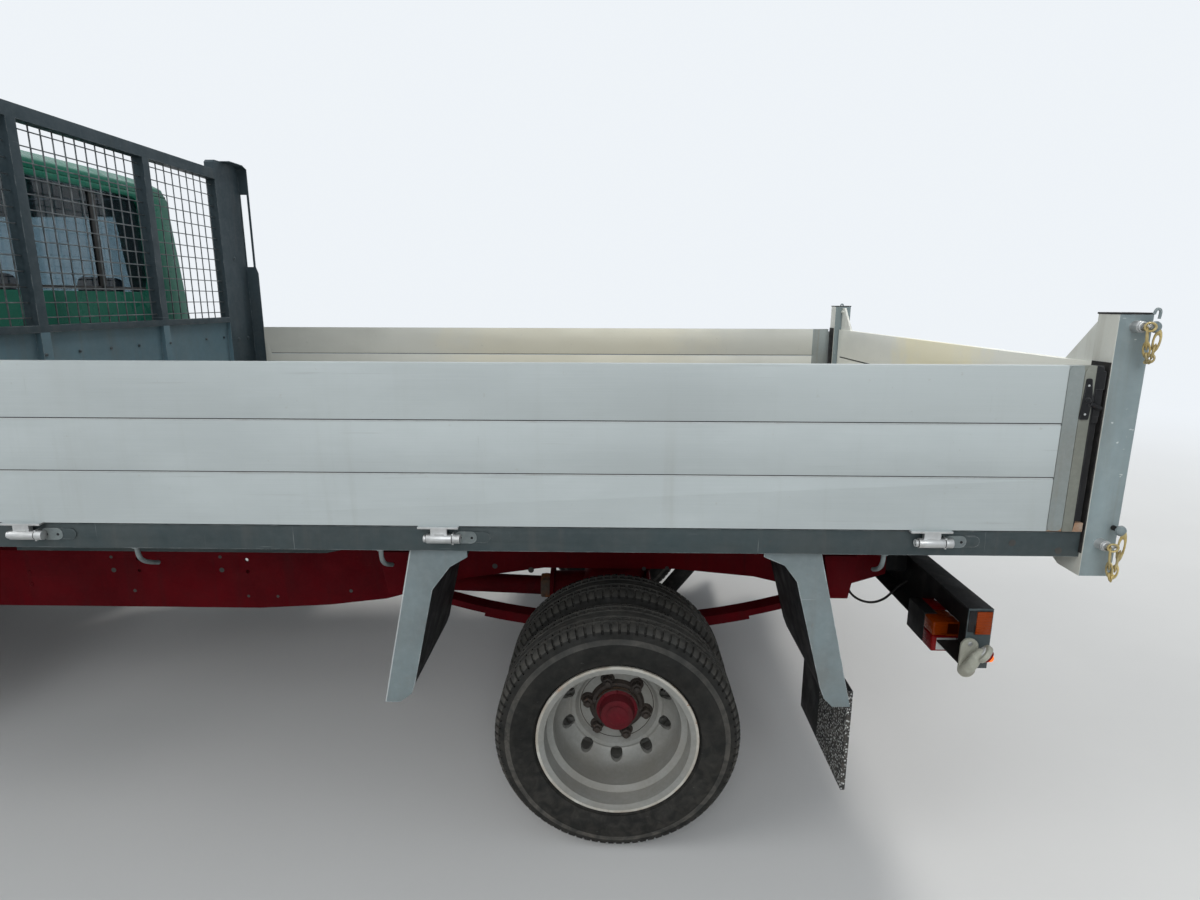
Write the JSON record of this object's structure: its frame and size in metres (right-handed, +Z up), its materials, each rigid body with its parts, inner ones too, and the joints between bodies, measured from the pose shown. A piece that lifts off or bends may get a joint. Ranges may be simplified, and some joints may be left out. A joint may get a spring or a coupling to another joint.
{
  "type": "dump truck",
  "caption": "Light tipping truck with a semi-bonneted cab, ladder frame, twin rear wheels and an aluminium dropside body raised by a telescopic ram.",
  "frame": {"origin": "on the ground under the middle of the truck's overall box", "axes": "+X towards the truck's front, +Y to its left, +Z up"},
  "size_m": [5.634, 2.24, 2.1579],
  "materials": {
    "cab_paint": "satin, weathered",
    "chassis_paint": "semi-gloss, dusty and rusted",
    "bed_paint": "satin, chipped",
    "guard_paint": "satin, dusty",
    "board_aluminium": "mill finish, scratched and stained",
    "wheel_paint": "satin silver, rusted",
    "tyre_rubber": "matt, dusty",
    "glazing": "clear, slightly green",
    "black_plastic": "matt",
    "engine_iron": "oily",
    "pipe_steel": "rusted",
    "ram_steel": "bright",
    "seat_fabric": "woven, worn",
    "lamp_plastic": "gloss",
    "headlamp_plastic": "clear, gloss"
  },
  "bodies": {
    "chassis": {"chassis_frame": "chassis_paint", "tipper_subframe": "bed_paint", "leaf_springs": "chassis_paint", "rear_axle": "chassis_paint", "front_axle": "chassis_paint", "engine": "engine_iron", "radiator": "guard_paint", "exhaust": "pipe_steel", "tail_pipe": "pipe_steel", "fuel_tank": "guard_paint", "underrun_bar": "guard_paint", "rear_lamps": "lamp_plastic", "cab_roof": "cab_paint", "cab_rear_wall": "cab_paint", "cab_front_frame": "cab_paint", "cab_floor": "cab_paint", "cab_glass": "glazing", "dashboard": "black_plastic", "seats": "seat_fabric", "front_panels": "cab_paint", "headlamps": "headlamp_plastic", "grille": "black_plastic", "bumper": "black_plastic"},
    "knuckle_left": {"knuckle_left": "chassis_paint"},
    "knuckle_right": {"knuckle_right": "chassis_paint"},
    "track_rod": {"track_rod": "chassis_paint"},
    "front_wheel_left": {"front_wheel_left": "wheel_paint", "front_tyre_left": "tyre_rubber"},
    "front_wheel_right": {"front_wheel_right": "wheel_paint", "front_tyre_right": "tyre_rubber"},
    "rear_wheel_left": {"rear_wheels_left": "wheel_paint", "rear_tyres_left": "tyre_rubber"},
    "rear_wheel_right": {"rear_wheels_right": "wheel_paint", "rear_tyres_right": "tyre_rubber"},
    "steering_wheel": {"steering_wheel": "black_plastic"},
    "door_left": {"door_left": "cab_paint", "door_glass_left": "glazing"},
    "door_right": {"door_right": "cab_paint", "door_glass_right": "glazing"},
    "bonnet": {"bonnet": "cab_paint"},
    "bed": {"bed_frame": "bed_paint", "bed_floor": "board_aluminium", "headboard": "bed_paint", "headboard_mesh": "bed_paint", "rear_posts": "bed_paint", "mudguard_legs": "bed_paint", "mudguards": "guard_paint"},
    "dropside_left": {"dropside_left": "board_aluminium"},
    "dropside_right": {"dropside_right": "board_aluminium"},
    "tailgate": {"tailgate": "board_aluminium"},
    "ram_barrel": {"ram_barrel": "ram_steel"},
    "ram_stage_1": {"ram_stage_1": "ram_steel"},
    "ram_stage_2": {"ram_stage_2": "ram_steel"},
    "ram_stage_3": {"ram_stage_3": "ram_steel"},
    "ram_stage_4": {"ram_stage_4": "ram_steel"}
  },
  "joints": [
    {"name": "bed_tip", "type": "hinge", "parent": "chassis", "child": "bed", "pos_m": [-2.554, 0, 0.745], "axis": [0, -1, 0], "range_deg": [0, 45]},
    {"name": "ram_tilt", "type": "hinge", "parent": "chassis", "child": "ram_barrel", "pos_m": [-1.054, 0, 0.665], "axis": [0, -1, 0], "range_deg": [0, 23.5]},
    {"name": "ram_slide_1", "type": "slide", "parent": "ram_barrel", "child": "ram_stage_1", "axis": [0, 0, 1], "range_m": [0, 0.2835]},
    {"name": "ram_slide_2", "type": "slide", "parent": "ram_stage_1", "child": "ram_stage_2", "axis": [0, 0, 1], "range_m": [0, 0.2835]},
    {"name": "ram_slide_3", "type": "slide", "parent": "ram_stage_2", "child": "ram_stage_3", "axis": [0, 0, 1], "range_m": [0, 0.2835]},
    {"name": "ram_slide_4", "type": "slide", "parent": "ram_stage_3", "child": "ram_stage_4", "axis": [0, 0, 1], "range_m": [0, 0.2835]},
    {"name": "side_left", "type": "hinge", "parent": "bed", "child": "dropside_left", "pos_m": [-1.172, 1.055, 0.925], "axis": [-1, 0, 0], "range_deg": [0, 180]},
    {"name": "side_right", "type": "hinge", "parent": "bed", "child": "dropside_right", "pos_m": [-1.172, -1.055, 0.925], "axis": [1, 0, 0], "range_deg": [0, 180]},
    {"name": "tailgate_swing", "type": "hinge", "parent": "bed", "child": "tailgate", "pos_m": [-2.777, 0, 1.444], "axis": [0, 1, 0], "range_deg": [0, 90]},
    {"name": "door_left_swing", "type": "hinge", "parent": "chassis", "child": "door_left", "pos_m": [1.929, 0.972, 1.1], "axis": [0, 0, -1], "range_deg": [0, 65]},
    {"name": "door_right_swing", "type": "hinge", "parent": "chassis", "child": "door_right", "pos_m": [1.929, -0.972, 1.1], "axis": [0, 0, 1], "range_deg": [0, 65]},
    {"name": "bonnet_lift", "type": "hinge", "parent": "chassis", "child": "bonnet", "pos_m": [2.262, 0, 1.151], "axis": [0, -1, 0], "range_deg": [0, 60]},
    {"name": "steer_left", "type": "hinge", "parent": "chassis", "child": "knuckle_left", "pos_m": [1.886, 0.8, 0.335], "axis": [0, 0, 1], "range_deg": [-35, 35]},
    {"name": "steer_right", "type": "hinge", "parent": "chassis", "child": "knuckle_right", "pos_m": [1.886, -0.8, 0.335], "axis": [0, 0, 1], "range_deg": [-35, 35]},
    {"name": "track_rod_swing", "type": "hinge", "parent": "knuckle_left", "child": "track_rod", "pos_m": [1.791, 0.8, 0.24], "axis": [0, 0, 1], "range_deg": [-35, 35]},
    {"name": "steering_turn", "type": "hinge", "parent": "chassis", "child": "steering_wheel", "pos_m": [1.416, -0.47, 1.19], "axis": [-0.5736, 0, 0.8192], "range_deg": [-420, 420]},
    {"name": "front_spin_left", "type": "hinge", "parent": "knuckle_left", "child": "front_wheel_left", "pos_m": [1.886, 0.85, 0.335], "axis": [0, 1, 0], "continuous": true},
    {"name": "front_spin_right", "type": "hinge", "parent": "knuckle_right", "child": "front_wheel_right", "pos_m": [1.886, -0.85, 0.335], "axis": [0, 1, 0], "continuous": true},
    {"name": "rear_spin_left", "type": "hinge", "parent": "chassis", "child": "rear_wheel_left", "pos_m": [-1.614, 0.817, 0.335], "axis": [0, 1, 0], "continuous": true},
    {"name": "rear_spin_right", "type": "hinge", "parent": "chassis", "child": "rear_wheel_right", "pos_m": [-1.614, -0.817, 0.335], "axis": [0, 1, 0], "continuous": true}
  ],
  "couplings": [
    {"joint": "ram_tilt", "follows": "bed_tip", "ratio": 0.5156},
    {"joint": "ram_slide_1", "follows": "bed_tip", "m_per_rad": 0.3606},
    {"joint": "ram_slide_2", "follows": "bed_tip", "m_per_rad": 0.3606},
    {"joint": "ram_slide_3", "follows": "bed_tip", "m_per_rad": 0.3606},
    {"joint": "ram_slide_4", "follows": "bed_tip", "m_per_rad": 0.3606},
    {"joint": "steer_right", "follows": "steer_left", "ratio": 1},
    {"joint": "track_rod_swing", "follows": "steer_left", "ratio": -1},
    {"joint": "steering_turn", "follows": "steer_left", "ratio": 12}
  ]
}
